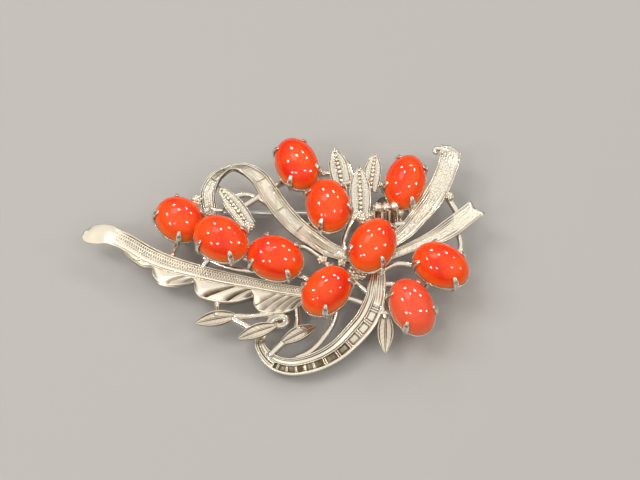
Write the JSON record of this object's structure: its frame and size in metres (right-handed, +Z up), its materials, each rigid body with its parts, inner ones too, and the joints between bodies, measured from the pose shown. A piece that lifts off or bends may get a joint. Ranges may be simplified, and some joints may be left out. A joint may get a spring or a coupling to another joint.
{
  "type": "coral brooch",
  "caption": "Openwork silver spray brooch of ribbons, leaves and wires set with oval coral cabochons in claws, with a hinged pin stem and a catch on the back.",
  "frame": {"origin": "middle of the brooch's outline, on the surface that it lies on face up", "axes": "+X along the brooch from the feather's tip to the short ribbon, +Z up out of its face"},
  "size_m": [0.0648, 0.04, 0.0118],
  "materials": {
    "silver": "cast and polished silver, stippled in the ribbons",
    "pin_metal": "polished wire",
    "coral": "polished orange-red coral",
    "coral_pale": "polished, slightly pinker coral"
  },
  "bodies": {
    "brooch": {"silver_frame": "silver", "hinge_bracket": "silver", "hinge_rivet": "pin_metal", "catch": "silver", "stone_1": "coral", "stone_2": "coral", "stone_3": "coral", "stone_4": "coral", "stone_5": "coral", "stone_6": "coral", "stone_7": "coral", "stone_8": "coral", "stone_9": "coral", "stone_10": "coral_pale"},
    "pin": {"pin_stem": "pin_metal"}
  },
  "joints": [
    {"name": "pin_hinge", "type": "hinge", "parent": "brooch", "child": "pin", "pos_m": [0.01687, 0.0092, 0.0015], "axis": [0, -1, 0], "range_deg": [0, 80]}
  ]
}
